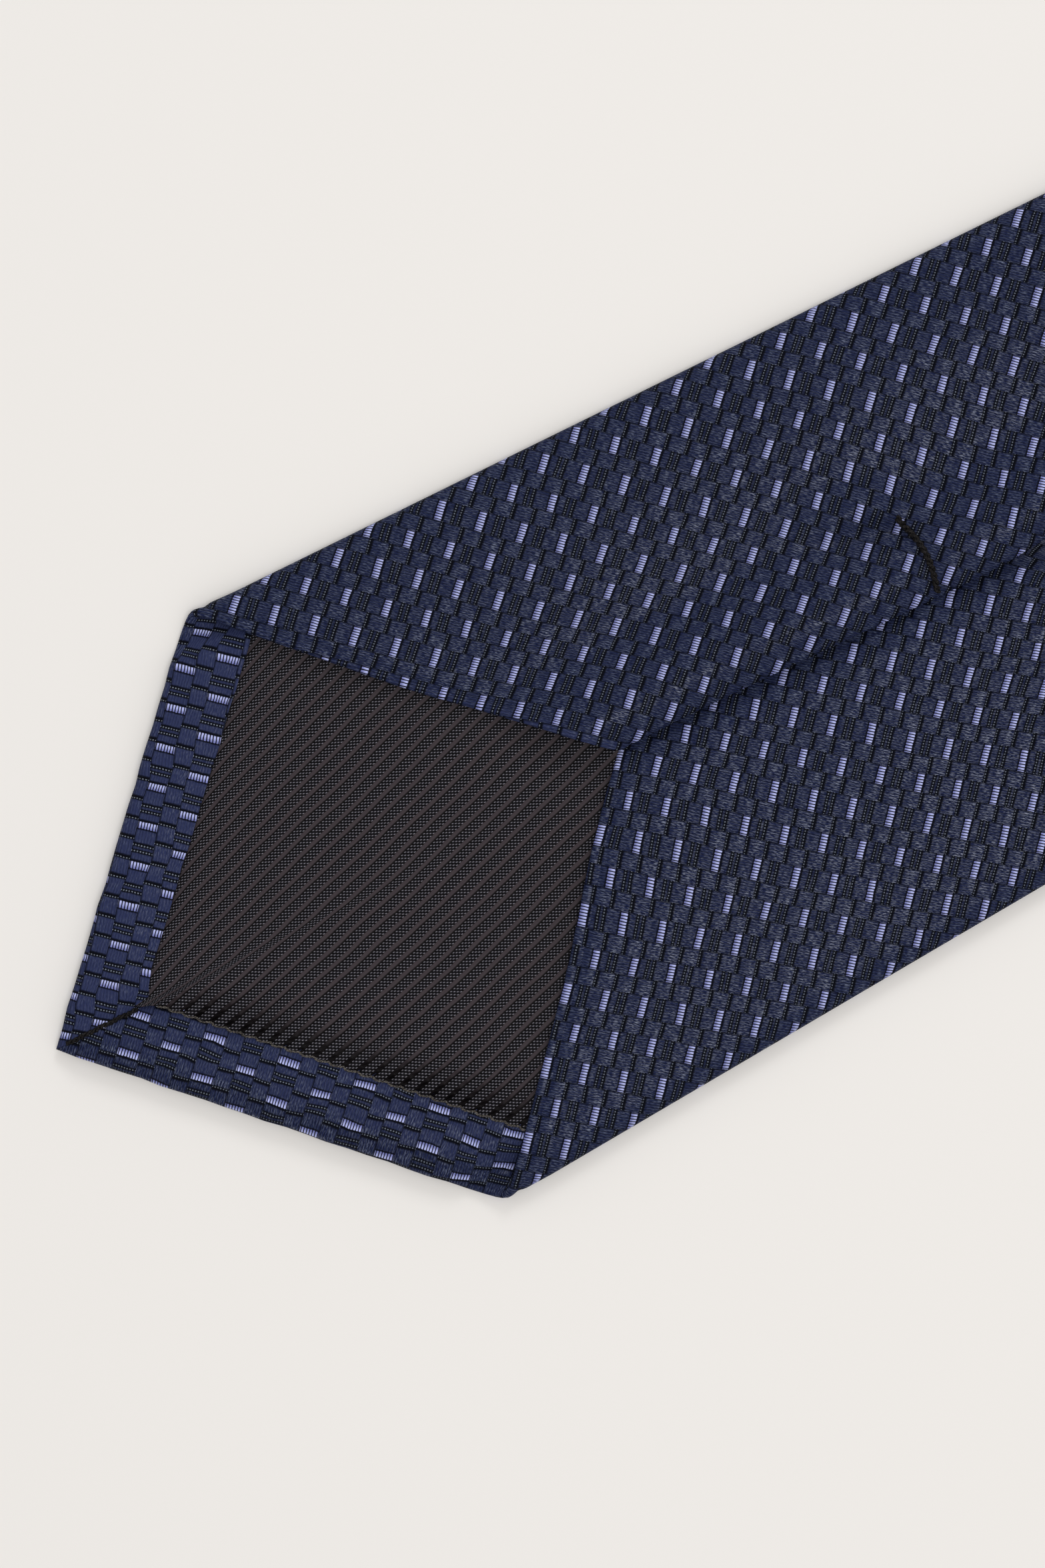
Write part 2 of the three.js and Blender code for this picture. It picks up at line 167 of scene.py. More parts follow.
# %% [markdown]
# ## Writing materials as arithmetic
#
# A weave is arithmetic on two numbers, how far along the cloth and how far across. Written
# with nodes it would be a page of boxes, so Value wraps a socket and lets Python's own
# signs add the Math nodes, and Recipe adds every other kind of node.


# %% Sockets that can be added and multiplied
class Value:
    """One number socket of a material, which + - * / and comparisons work on."""

    def __init__(self, recipe, socket):
        self.recipe = recipe
        self.socket = socket

    def math(self, operation, *others):
        return self.recipe.node("ShaderNodeMath", {"operation": operation}, [self, *others])

    def __add__(self, other):
        return self.math("ADD", other)

    def __sub__(self, other):
        return self.math("SUBTRACT", other)

    def __rsub__(self, other):
        return self.recipe.node("ShaderNodeMath", {"operation": "SUBTRACT"}, [other, self])

    def __mul__(self, other):
        return self.math("MULTIPLY", other)

    def __truediv__(self, other):
        return self.math("DIVIDE", other)

    def __gt__(self, other):
        return self.math("GREATER_THAN", other)

    def __lt__(self, other):
        return self.math("LESS_THAN", other)

    __radd__ = __add__
    __rmul__ = __mul__

    def fraction(self):
        return self.math("FRACT")

    def wave(self):
        """0 to 1 and back, once for each whole number."""
        return (self * (2 * math.pi)).math("COSINE") * 0.5 + 0.5

    def rise(self, start, end):
        """0 below start, 1 above end, and smooth between them."""
        settings = {"interpolation_type": "SMOOTHSTEP"}
        return self.recipe.node("ShaderNodeMapRange", settings, [self, start, end, 0.0, 1.0])

    def band(self, start, end, soft):
        """1 between start and end, 0 outside, with edges this soft."""
        inside = self.rise(start - soft / 2, start + soft / 2)
        return inside * (1 - self.rise(end - soft / 2, end + soft / 2))


class Recipe:
    """A material being made."""

    def __init__(self, name):
        self.material = bpy.data.materials.new(name)
        self.material.use_nodes = True
        self.tree = self.material.node_tree
        self.shader = self.tree.nodes["Principled BSDF"]

    def feed(self, socket, value):
        if isinstance(value, Value):
            self.tree.links.new(value.socket, socket)
        else:
            socket.default_value = value

    def node(self, kind, settings, values=(), output=0):
        """Any node: its settings by name, then the values of its sockets in order."""
        made = self.tree.nodes.new(kind)
        for name, value in settings.items():
            setattr(made, name, value)
        sockets = values.items() if isinstance(values, dict) else enumerate(values)
        for place, value in sockets:
            self.feed(made.inputs[place], value)
        return Value(self, made.outputs[output])

    def mix(self, share, first, second):
        """The first colour, or the second where share is 1."""
        values = {0: share, 6: first, 7: second}
        return self.node("ShaderNodeMix", {"data_type": "RGBA"}, values, output=2)

    def flat_place(self):
        """How far along and across the flat cloth, in mm."""
        cloth = self.node("ShaderNodeUVMap", {"uv_map": "cloth"})
        made = self.tree.nodes.new("ShaderNodeSeparateXYZ")
        self.feed(made.inputs[0], cloth)
        return [Value(self, made.outputs[i]) * 1000 for i in range(2)]

    def join(self, *values):
        return self.node("ShaderNodeCombineXYZ", {}, values)

    def noise(self, place, scale, detail=2.0):
        values = {"Vector": place, "Scale": scale, "Detail": detail}
        return self.node("ShaderNodeTexNoise", {}, values)

    def bump(self, height, depth, strength=1.0):
        """Height is in units of depth, which is in metres."""
        values = {"Strength": strength, "Distance": depth, "Height": height}
        self.shader_input("Normal", self.node("ShaderNodeBump", {}, values))

    def shader_input(self, name, value):
        self.feed(self.shader.inputs[name], value)


# %% [markdown]
# ### The silk
#
# The weave repeats every 4.93 mm along the weft and every 27 threads across it. Two rows
# of dashes, one moved along by half a repeat, take turns with two rows of plump little
# satin blocks, and fine dotted lines run between them where the pale thread just shows.
# The cloth is cut on the slant, so the weft runs at nearly 43 degrees to the tie. Height
# and colour come from the same bands, so each dash and block stands proud of its grooves,
# and a coat of gloss lies on the floats of thread alone. Light and shade are painted into
# the colour too: dark shade in the grooves and between threads, blocks darker on one side,
# dashes dim at one edge, glints on the floats, and a bluer, smoother sheen where a hem is
# turned in.

# %% Silk with a dash
WEFT_TURN = math.radians(42.7)
THREAD = 0.342  # one weft thread, mm
REPEAT = 4.93  # one dash to the next along the weft, mm
REPEAT_THREADS = 27
ROW_THREADS = 14  # a row of dashes and the row of blocks above it
DASH_THREADS = 8
FIRST_DASH = (1.2, -0.4)  # where the repeat starts, mm

NAVY = (0.0105, 0.0155, 0.053, 1)
# Painted sheen: the satin of a turned-in hem, bluer and smoother as it catches the light another
# way.
TURNED_SHEEN_NAVY = (0.0240, 0.0315, 0.089, 1)
# The groove colour is the dark ground between floats: partly its own dark thread, partly painted
# shade in the grooves and between threads.
GROOVE = (0.0010, 0.0014, 0.0045, 1)
# Painted highlight: the glint colour of the specks of light on the floats.
GLINT = (0.165, 0.205, 0.325, 1)
DOTTED = (0.27, 0.31, 0.39, 1)
DASH = (0.45, 0.49, 0.84, 1)
DASH_DIM = (0.18, 0.20, 0.46, 1)


def silk_weave(name):
    silk = Recipe(name)
    u, v = silk.flat_place()
    millimetres = silk.join(u, v, 0.0)
    drift = silk.noise(millimetres, 0.07) - 0.5
    tremble = silk.noise(millimetres, 1.3) - 0.5
    across = u * math.cos(WEFT_TURN) + v * math.sin(WEFT_TURN) + drift * 0.7 + tremble * 0.14
    along = v * math.cos(WEFT_TURN) - u * math.sin(WEFT_TURN) + drift * 0.5 + tremble * 0.08
    across, along = across - FIRST_DASH[0], along - FIRST_DASH[1]

    # Which row, and how far through it
    thread = along / THREAD
    place = (thread / REPEAT_THREADS).fraction() * REPEAT_THREADS
    second = place > ROW_THREADS
    row = place - second * ROW_THREADS
    dashes = DASH_THREADS - second
    in_dash_row = 1 - (row - dashes).rise(-0.2, 0.2)
    dash_row = in_dash_row * row.rise(0.0, 0.45)
    block_row = (1 - in_dash_row) * (row - dashes).rise(0.0, 0.55)
    step = (across / REPEAT + second * 0.5).fraction()
    block = (across / (REPEAT / 2) - 0.42).fraction()

    # Where the cloth is turned in at a hem its satin faces the other way and catches the light
    # another way; that sheen is painted into the colour, bluer and smoother, with fewer painted
    # glints. On the puckered side that starts only past the roll.
    past_edge = v.math("ABSOLUTE") * TIP_SLOPE - u
    puckered = v < 0
    turned_sheen = (past_edge - puckered * 4.5).rise(-0.4, 2.8) * (1 - puckered * 0.35)

    # Bands along the weft, in a row of dashes and in a row of blocks
    dash = step.band(0.015, 0.192, 0.02) * dash_row
    lines = step.band(0.435, 0.470, 0.012) + step.band(0.580, 0.615, 0.012)
    lines = lines * in_dash_row + block.band(0.02, 0.08, 0.025) * (1 - in_dash_row)
    cushions = step.band(0.245, 0.405, 0.05) + step.band(0.66, 0.985, 0.05)
    narrow = step.band(0.495, 0.56, 0.03)
    satin = (cushions + narrow * 0.8) * dash_row
    blocks = block.band(0.20, 0.985, 0.11) * block_row
    # Painted shade: the glints of each block fade towards one side of it, as if lit from the other.
    block_side_shade = 0.55 + block.rise(0.15, 0.8) * 0.45

    # Threads, and painted glints: specks of light where a fibre turns over, mixed into the colour
    weft = thread.wave()
    fibres = silk.noise(silk.join(across * 1.9, along * 8.5, 0.0), 1.0, 2.0)
    sheen_patches = silk.noise(millimetres, 0.75, 1.0)
    specks = fibres.rise(0.44, 0.64) * (0.45 + weft * 0.55)
    shine = (blocks * block_side_shade + satin * 0.62) * (0.45 + sheen_patches.rise(0.3, 0.75) * 0.75)
    beads = weft.rise(0.10, 0.50)

    body = silk.mix(turned_sheen, NAVY, TURNED_SHEEN_NAVY)
    # Between the floats the cloth takes the groove colour: its own dark thread with painted shade.
    colour = silk.mix((satin + blocks).math("MINIMUM", 1.0), GROOVE, body)
    # Painted shade in the gaps between the weft threads.
    colour = silk.mix((1 - weft.rise(0.0, 0.5)) * (0.6 - turned_sheen * 0.35), colour, GROOVE)
    # Painted highlight: the glint colour mixed onto the specks, in patches of painted sheen.
    colour = silk.mix(specks * shine * (0.46 - turned_sheen * 0.30), colour, GLINT)
    colour = silk.mix(lines * weft.rise(0.3, 0.7) * (0.42 + turned_sheen * 0.15), colour, DOTTED)
    # Painted shade: each dash is dim at one edge and lit over the rest.
    lit = silk.mix(step.rise(0.03, 0.15), DASH_DIM, DASH)
    colour = silk.mix(dash * beads, colour, lit)
    silk.shader_input("Base Color", colour)

    height = blocks * 0.75 + satin * 0.55 + dash * 0.9 + lines * 0.35 + weft * 0.16
    silk.bump(height + fibres * 0.30, 0.34 * mm)
    silk.shader_input("Roughness", 0.82 - dash * 0.38 - specks * shine * 0.5)
    silk.shader_input("Specular IOR Level", 0.08)

    # The gloss on each float of thread fades where the cloth tilts away from the light
    silk.shader_input("Coat Weight", specks * shine * (0.65 - turned_sheen * 0.45))
    silk.shader_input("Coat Roughness", 0.3)
    silk.shader_input("Coat IOR", 1.6)
    return silk.material


silk = silk_weave("woven_silk")
print("silk:", len(silk.node_tree.nodes), "nodes")

# %% [markdown]
# ### The lining
#
# The lining of a tip, the tipping, is a thin satin with a twill stripe: a smooth dark band,
# then a band of fine pale dots, in short rows that slant across it. Shade is painted in too:
# a dark line along one side of each dotted band, near-black between its rows of dots, and
# dark smooth bands in the pleats by the puckered hem.

# %% Striped lining
STRIPE_TURN = math.radians(15.6)
STRIPE = 1.6  # mm from one stripe to the next
DOT_COLUMNS = STRIPE / 6
DOT_ROWS = 0.36
ROW_TURN = math.radians(47)  # a row of dots slants across its stripe


def striped_lining(name, hem_wide):
    """hem_wide, in mm, is the hem that the lining is eased onto in pleats."""
    lining = Recipe(name)
    u, v = lining.flat_place()
    drift = lining.noise(lining.join(u, v, 0.0), 0.12) - 0.5
    across = v * math.cos(STRIPE_TURN) - u * math.sin(STRIPE_TURN) + drift * 0.5
    along = u * math.cos(STRIPE_TURN) + v * math.sin(STRIPE_TURN)
    stripe = (across / STRIPE).fraction()
    twill = stripe.band(0.03, 0.62, 0.05)
    row = ((along * math.cos(ROW_TURN) + across * math.sin(ROW_TURN)) / DOT_ROWS).wave()
    column = (across / DOT_COLUMNS - 0.5).wave()
    dots = (row * column).rise(0.46, 0.74) * twill
    # Between the rows of dots the band is dark thread with painted shade, near-black.
    gap_shade = ((1 - row) * (0.4 + column * 0.6)).rise(0.25, 0.6)
    grain = lining.noise(lining.join(along * 0.5, across * 7, 0.0), 1.0, 2.0)
    past_hem = (u - v.math("ABSOLUTE") * TIP_SLOPE) / TIP_STRETCH - hem_wide
    # Painted shade: near the puckered hem the smooth bands are darkened, as shade in the pleats.
    pleat_shade = (1 - past_hem.rise(0.3, 4.2)) * (1 - v.rise(-3.0, 0.0))
    threads = lining.mix(gap_shade, (0.014, 0.013, 0.017, 1), (0.0010, 0.0008, 0.0012, 1))
    colour = lining.mix(twill, (0.0425, 0.0335, 0.039, 1), threads)
    colour = lining.mix(grain.rise(0.4, 0.8) * (1 - twill) * 0.5, colour, (0.056, 0.046, 0.048, 1))
    # Painted shadow along one side of each dotted stripe, together with the painted pleat shade.
    painted_shade = (stripe.band(0.61, 0.74, 0.05) + pleat_shade * (1 - twill)).math("MINIMUM", 1.0)
    colour = lining.mix(painted_shade * 0.92, colour, (0.0018, 0.0015, 0.0018, 1))
    colour = lining.mix(dots, colour, (0.19, 0.185, 0.215, 1))
    lining.shader_input("Base Color", colour)
    lining.bump(twill * 0.5 + dots * 0.6 + grain * 0.12, 0.10 * mm)
    lining.shader_input("Roughness", 0.46 + twill * 0.2)
    lining.shader_input("Specular IOR Level", 0.05)
    return lining.material


lining_cloth = {
    "front": striped_lining("striped_lining_front", 9.8),
    "tail": striped_lining("striped_lining_tail", 6.8),
}
print("lining:", len(lining_cloth["front"].node_tree.nodes), "nodes")

# %% [markdown]
# ### Wool, thread and ribbon
#
# The interlining is brushed wool, so it is a soft fuzz with no clear weave. Thread gets a
# slanting twist along its length. The care label is a satin ribbon with a fine weave.


# %% Wool, thread and ribbon
def brushed_wool():
    wool = Recipe("brushed_wool")
    place = wool.node("ShaderNodeTexCoord", {}, output=3)
    fuzz = wool.noise(place, 2600.0, 4.0)
    clump = wool.noise(place, 420.0, 2.0)
    # These colours are partly the wool's own grey and partly painted shade, darkened as it lies
    # deep in the open seam.
    colour = wool.mix(fuzz.rise(0.35, 0.7), (0.013, 0.012, 0.0105, 1), (0.036, 0.032, 0.028, 1))
    colour = wool.mix(clump.rise(0.5, 0.8) * 0.4, colour, (0.028, 0.025, 0.022, 1))
    wool.shader_input("Base Color", colour)
    wool.shader_input("Roughness", 0.95)
    wool.bump(fuzz + clump, 0.35 * mm)
    return wool.material


def spun_thread(name, dark, pale):
    thread = Recipe(name)
    place = thread.node("ShaderNodeTexCoord", {}, output=3)
    fibre = thread.noise(place, 5200.0, 3.0)
    thread.shader_input("Base Color", thread.mix(fibre.rise(0.4, 0.72), dark, pale))
    thread.shader_input("Roughness", 0.6 + fibre * 0.2)
    thread.shader_input("Specular IOR Level", 0.12)
    thread.bump(fibre, 0.05 * mm)
    return thread.material


def satin_ribbon():
    ribbon = Recipe("satin_ribbon")
    u, v = ribbon.flat_place()
    weft, warp = (u / 0.24).wave(), (v / 0.16).wave()
    border = v.math("ABSOLUTE").rise(9.6, 9.9)
    weave = weft * 0.6 + warp * 0.4
    colour = ribbon.mix(weave, (0.60, 0.585, 0.55, 1), (0.78, 0.765, 0.725, 1))
    colour = ribbon.mix(border * 0.35, colour, (0.33, 0.35, 0.42, 1))
    ribbon.shader_input("Base Color", colour)
    ribbon.shader_input("Roughness", 0.42 + weave * 0.12)
    ribbon.bump(weave, 0.04 * mm)
    return ribbon.material


wool = brushed_wool()
dark_thread = spun_thread("dark_thread", (0.0028, 0.0024, 0.0026, 1), (0.024, 0.021, 0.021, 1))
pale_thread = spun_thread("pale_thread", (0.035, 0.031, 0.028, 1), (0.17, 0.155, 0.14, 1))
ribbon = satin_ribbon()

paper = Recipe("pale_floor")
paper.shader_input("Base Color", (0.835, 0.815, 0.79, 1))
paper.shader_input("Roughness", 0.6)
floor.data.materials.append(paper.material)
print("materials are ready")

# %% [markdown]
# ## From flat cloth to folded tie
#
# A flat grid is the cut cloth. Its columns run round the tie's section: the lower flap from
# its raw edge, one side fold, the face, the other side fold, the upper flap, its rise over
# the lower flap, the rolled edge of the seam, and the lip turned under. The two side folds
# are soft rolls, flatter than a half circle, because the tie has been pressed lightly.

# %% The section
FACE_Z = CLOTH / 2
FLAP_Z = 2.9 * mm
RIDGE_Z = 4.9 * mm
FOLD_WIDE = 3.2 * mm
FOLD_TALL = (FLAP_Z - FACE_Z) / 2
RISE_FROM = 13 * mm  # where the upper flap starts to climb over the lower one
EDGE_WIDE = 3.6 * mm  # the rolled edge of the seam
EDGE_TALL = 1.25 * mm
TUCK = 6 * mm  # the lower flap and the lip reach this far past the seam
CROWN = 0.3 * mm  # the flaps are a little fuller in the middle

COLUMN_CELLS = {
    "under_flap": 34,
    "right_fold": 10,
    "face": 40,
    "left_fold": 10,
    "over_flap": 26,
    "climb": 9,
    "edge": 9,
    "lip": 3,
}


def columns():
    """For each column of the grid, the part of the section it is in, and how far through."""
    part, share = [], []
    for name, cells in COLUMN_CELLS.items():
        first = 0 if not part else 1
        for i in range(first, cells + 1):
            part.append(name)
            share.append(i / cells)
    return np.array(part), np.array(share)


PART, SHARE = columns()
MIDDLE = int(np.flatnonzero((PART == "face") & (SHARE == 0.5))[0])


def smooth(x):
    x = np.clip(x, 0, 1)
    return x * x * (3 - 2 * x)


def half_width(x):
    """The tie's half width at x, carried on in a straight line past the shoulders."""
    front_shoulder = FRONT_TIP + FRONT_HALF * TIP_SLOPE
    tail_shoulder = TAIL_TIP - TAIL_HALF * TIP_SLOPE
    stations = [front_shoulder, FRONT_JOIN, TAIL_JOIN, tail_shoulder]
    halves = [FRONT_HALF, NECK_HALF, NECK_TAIL_HALF, TAIL_HALF]
    front_slope = (NECK_HALF - FRONT_HALF) / (FRONT_JOIN - front_shoulder)
    tail_slope = (TAIL_HALF - NECK_TAIL_HALF) / (tail_shoulder - TAIL_JOIN)
    half = np.interp(x, stations, halves)
    half = half + np.minimum(x - front_shoulder, 0) * front_slope
    return half + np.maximum(x - tail_shoulder, 0) * tail_slope


def section(x):
    """Where the columns of the grid are across the tie, at each point's place along it."""
    half = half_width(x)
    reach = half - FOLD_WIDE
    middle_z = (FLAP_Z + FACE_Z) / 2
    y, z = np.zeros_like(x), np.zeros_like(x)

    def put(name, across, up):
        here = PART == name
        y[:, here] = np.broadcast_to(across, x.shape)[:, here]
        z[:, here] = np.broadcast_to(up, x.shape)[:, here]

    half_turn = np.pi * SHARE
    under_y = TUCK - (TUCK + reach) * SHARE
    crown = CROWN * np.sin(np.pi * np.clip(-under_y / reach, 0, 1))
    put("under_flap", under_y, FLAP_Z + crown)
    roll_y, roll_z = FOLD_WIDE * np.sin(half_turn), FOLD_TALL * np.cos(half_turn)
    put("right_fold", -reach - roll_y, middle_z + roll_z)
    put("face", reach * (2 * SHARE - 1), FACE_Z)
    put("left_fold", reach + roll_y, middle_z - roll_z)
    over_y = reach - (reach - RISE_FROM) * SHARE
    put("over_flap", over_y, FLAP_Z + CROWN * np.sin(np.pi * SHARE))
    climb = (1 - np.cos(half_turn)) / 2
    climb_y = RISE_FROM - (RISE_FROM - EDGE_WIDE) * SHARE
    put("climb", climb_y, FLAP_Z + (RIDGE_Z - FLAP_Z) * climb)
    drop = 2 * EDGE_TALL * ((1 - np.cos(half_turn)) / 2) ** 0.7
    put("edge", EDGE_WIDE - EDGE_WIDE * np.sin(half_turn), RIDGE_Z - drop)
    put("lip", EDGE_WIDE + (TUCK - EDGE_WIDE) * SHARE, RIDGE_Z - 2 * EDGE_TALL)
    return y, z


def distance_round(y, z):
    """How far each point is from the middle of the face, along the cloth."""
    steps = np.hypot(np.diff(y, axis=1), np.diff(z, axis=1))
    run = np.concatenate([np.zeros((len(y), 1)), np.cumsum(steps, axis=1)], axis=1)
    return run - run[:, [MIDDLE]]


print(f"section: {len(PART)} columns, the face's middle is column {MIDDLE}")

# %% [markdown]
# Pressed silk is never quite flat. The seam wanders by a millimetre, the flaps rise and
# fall, the slip stitch pulls small dimples along the seam, and a bar tack sinks into the
# cloth. Each of these is a smooth bump of known size, added to the folded cloth.

# %% What handling does to the cloth
FRONT_TACK = FRONT_TIP + 118.8 * mm
TAIL_TACK = TAIL_TIP - 62 * mm
TACK_REACH = 9.6 * mm
CREASE = 15 * mm  # the cloth creases towards the tip for this far from a tack's outer end
OPENING = 20 * mm  # past the front tack the seam lies open for this far
VALLEY = 1.05  # the lower flap dips under the rolled edge by this many mm


def hump(x, centre, width):
    return np.exp(-(((x - centre) / width) ** 2))


def seam_place(x):
    """How far the seam wanders from the middle line."""
    along = x - FRONT_TIP
    wander = 1.25 * mm * np.cos(2 * np.pi * (along - 74 * mm) / (130 * mm))
    gape = 1.0 * mm * hump(x, FRONT_TACK + OPENING, 7 * mm)
    return wander * hump(along, 60 * mm, 220 * mm) + gape


def softened(x, y, z):
    """The folded cloth with its wander, ripples and dimples."""
    top = smooth((z - 1.2 * mm) / (1.2 * mm))
    near_seam = 1 - smooth((np.abs(y) - 8 * mm) / (14 * mm))
    y_new = y + seam_place(x) * near_seam * top
    drawn_back = 6.8 * mm * hump(x, FRONT_TACK + OPENING, 7 * mm) * (PART == "under_flap")
    y_new = y_new - drawn_back * smooth((y + 11 * mm) / (15 * mm))
    along, across = x / mm, y / mm
    ripple = 0.10 * np.sin(along / 9.3 + across / 11.0) * np.sin(along / 17.0 - across / 6.5 + 1.1)
    ripple = ripple + 0.07 * np.sin(along / 5.1 + 0.6 * np.sin(across / 4.0))
    valley = -VALLEY * smooth((y + 2.5 * mm) / (2.2 * mm)) * (PART == "under_flap")
    stitches = -0.10 * (0.5 + 0.5 * np.cos(2 * np.pi * along / 12)) * hump(y, 2 * mm, 4 * mm)
    for tack, toward in ((FRONT_TACK, 1), (TAIL_TACK, -1)):
        over = smooth((TACK_REACH + 1 * mm - y) / (2 * mm)) * smooth((y + 2 * mm) / (2 * mm))
        over = over * np.where(PART == "under_flap", 0.1, 1.0)
        stitches = stitches - 0.75 * hump(x, tack, 1.9 * mm) * over
        near = hump(x, tack, 6 * mm) * hump(y, 4 * mm, 8 * mm)
        stitches = stitches - near * np.where(PART == "under_flap", 0.1, 0.38)
        behind = toward * (tack - x) / CREASE
        crease = smooth(behind * 4 + 0.5) * smooth(1 - behind)
        fold_y = TACK_REACH + 1.2 * mm * behind
        dip = 1.4 * hump(y, fold_y - 0.3 * mm, 2.0 * mm)
        shoulder = 1.3 * hump(y, fold_y + 3.2 * mm, 2.2 * mm)
        stitches = stitches - 1.15 * crease * (dip - shoulder) * (PART != "under_flap")
    z_new = z + (ripple + valley + stitches) * mm * top
    return y_new, z_new


# %% [markdown]
# The rows of the grid run along the tie. At a tip they follow the point: the first rows are
# the hem, from its raw edge to the fold, then comes the fold itself, and the rest carry the
# cloth on to the join. Where two sides of the hem meet at the point, each keeps its own
# flat coordinates, because that line is a sewn mitre and the weave doesn't match across it.

# %% Fold a length of the tie
JOIN_SLANT = 1.0
HEMS = {"front": (8.0 * mm, 9.8 * mm), "tail": (6.4 * mm, 6.8 * mm)}  # left, right
HEM_CELLS, ROLL_CELLS, STRIP_CELLS = 9, 8, 130
SILK_ROWS = {  # the steps between rows, as rows_along takes them
    "front": (0.0005, 0.0016, 0.0085, 0.24, 0.03),
    "tail": (0.0008, 0.0025, 0.0085, 0.12, 0.035),
}
FLAP_ROLL = 0.32 * mm
SEAM_SINK = 0.28 * mm  # the cloth turns down into a join


def grid_object(name, rows, cols):
    """A flat grid, and the row and column of each of its points."""
    deselect()
    bpy.ops.mesh.primitive_grid_add(x_subdivisions=cols - 1, y_subdivisions=rows - 1, size=1)
    grid = bpy.context.object
    grid.name = name
    flat = np.empty(len(grid.data.vertices) * 3)
    grid.data.vertices.foreach_get("co", flat)
    flat = flat.reshape(-1, 3)
    col = np.rint((flat[:, 0] + 0.5) * (cols - 1)).astype(int)
    row = np.rint((flat[:, 1] + 0.5) * (rows - 1)).astype(int)
    return grid, row, col


def place_points(grid, row, col, x, y, z):
    points = np.stack([x[row, col], y[row, col], z[row, col]], axis=1)
    grid.data.vertices.foreach_set("co", points.ravel())
    grid.data.update()


def write_cloth_map(grid, row, col, flat_left, flat_right):
    """Flat coordinates for each corner of each face, by the side of the middle it is on."""
    mesh = grid.data
    while mesh.uv_layers:
        mesh.uv_layers.remove(mesh.uv_layers[0])
    layer = mesh.uv_layers.new(name="cloth")
    corner_vertex = np.empty(len(mesh.loops), dtype=int)
    mesh.loops.foreach_get("vertex_index", corner_vertex)
    corner_row, corner_col = row[corner_vertex], col[corner_vertex]
    face_middle = corner_col.reshape(-1, 4).mean(axis=1)
    left = np.repeat(face_middle > MIDDLE, 4)[:, None]
    flat = np.where(left, flat_left[corner_row, corner_col], flat_right[corner_row, corner_col])
    layer.uv.foreach_set("vector", flat.ravel())


def flat_area(flat):
    """The area of a grid of flat points."""
    a, b = flat[:-1, :-1], flat[1:, 1:]
    c, d = flat[1:, :-1], flat[:-1, 1:]
    one, two = b - a, d - c
    return float(np.abs(one[..., 0] * two[..., 1] - one[..., 1] * two[..., 0]).sum() / 2)


def thicken(piece, thickness):
    """Gives a sheet its thickness, half to each side, and smooth shading."""
    deselect()
    piece.select_set(True)
    bpy.context.view_layer.objects.active = piece
    bpy.ops.object.modifier_add(type="SOLIDIFY")
    piece.modifiers[-1].thickness = thickness
    piece.modifiers[-1].offset = 0
    bpy.ops.object.modifier_apply(modifier=piece.modifiers[-1].name)
    bpy.ops.object.shade_smooth_by_angle(angle=math.radians(50))


def rows_along(first, near, far, reach, bend=0):
    """Shares from 0 to 1. The steps grow from first to near, and past reach on to far.

    Over the last stretch, bend, where the tie folds, they are as short as near again.
    """
    shares, step = [0.0, first], first
    while shares[-1] < 1:
        short = shares[-1] < reach or shares[-1] > 1 - bend
        step = min(step * 1.08, near if short else far)
        shares.append(shares[-1] + step)
    return np.array(shares) / shares[-1]


def sewn_cloth(name, x, y, z, flat_left, flat_right):
    """A length of silk from its grids of places and of flat coordinates."""
    piece, row, col = grid_object(name, *x.shape)
    place_points(piece, row, col, x, y, z)
    write_cloth_map(piece, row, col, flat_left, flat_right)
    area = flat_area(flat_left[:, MIDDLE:]) + flat_area(flat_right[:, : MIDDLE + 1])
    thicken(piece, CLOTH)
    piece.data.materials.append(silk)
    print(f"{name}: {len(x)} rows, {area * 1e4:.0f} square cm, {len(piece.data.polygons)} faces")
    return piece, area


def sink_inward(y, z, inside):
    """Moves each point of the soft section this far towards the inside of the tie."""
    dy, dz = np.gradient(y, axis=1), np.gradient(z, axis=1)
    length = np.hypot(dy, dz)
    return y - dz / length * inside, z + dy / length * inside


def into_join(x, y, join):
    """How far the cloth turns down where it is sewn to the next length."""
    return SEAM_SINK * smooth(1 - np.abs(x - join - JOIN_SLANT * y) / (0.9 * mm))


